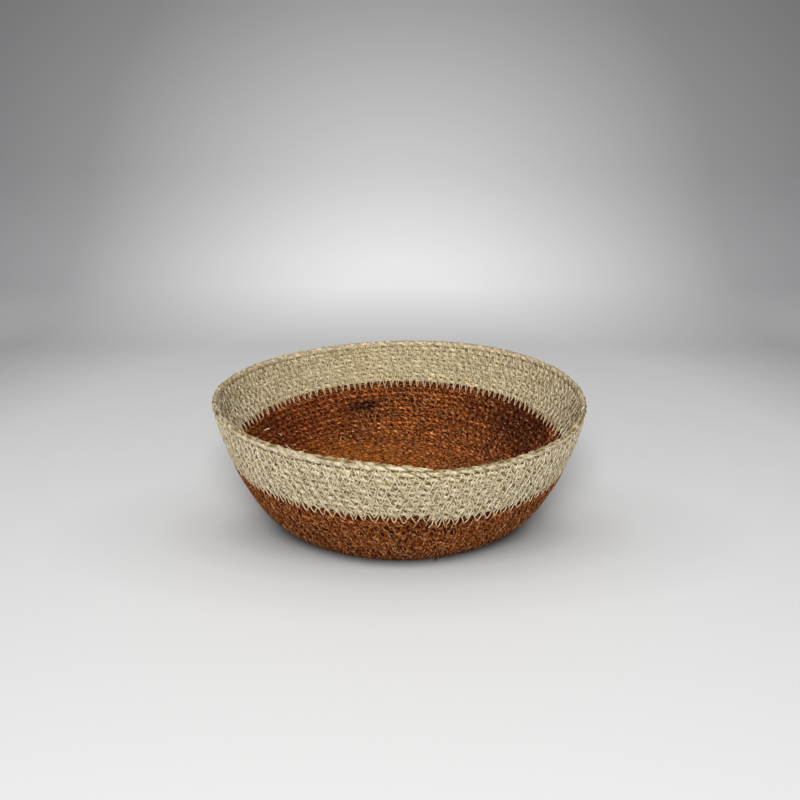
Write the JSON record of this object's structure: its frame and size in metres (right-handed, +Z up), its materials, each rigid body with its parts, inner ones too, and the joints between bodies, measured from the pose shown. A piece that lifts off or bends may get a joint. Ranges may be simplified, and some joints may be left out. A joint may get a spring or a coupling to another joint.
{
  "type": "storage basket",
  "caption": "Round flared storage basket of coiled twisted grass cord, rust below and natural above, sewn turn to turn with zigzag thread.",
  "frame": {"origin": "middle of the base, on the floor", "axes": "+Z up through the open top, +X to the right of the front view, -Y towards the viewer"},
  "size_m": [0.2964, 0.296, 0.101],
  "materials": {
    "rust_cord": "rust-dyed twisted grass cord, matt with a slight straw sheen",
    "natural_cord": "undyed twisted grass cord, matt with a slight straw sheen",
    "rust_thread": "rust sewing thread",
    "natural_thread": "undyed sewing thread"
  },
  "bodies": {
    "root": {"base_coil": "rust_cord", "lower_wall_coil": "rust_cord", "upper_wall_coil": "natural_cord", "joining_thread_outside": "natural_thread", "joining_thread_inside": "natural_thread", "rust_thread_outside": "rust_thread", "rust_thread_inside": "rust_thread"}
  },
  "joints": []
}
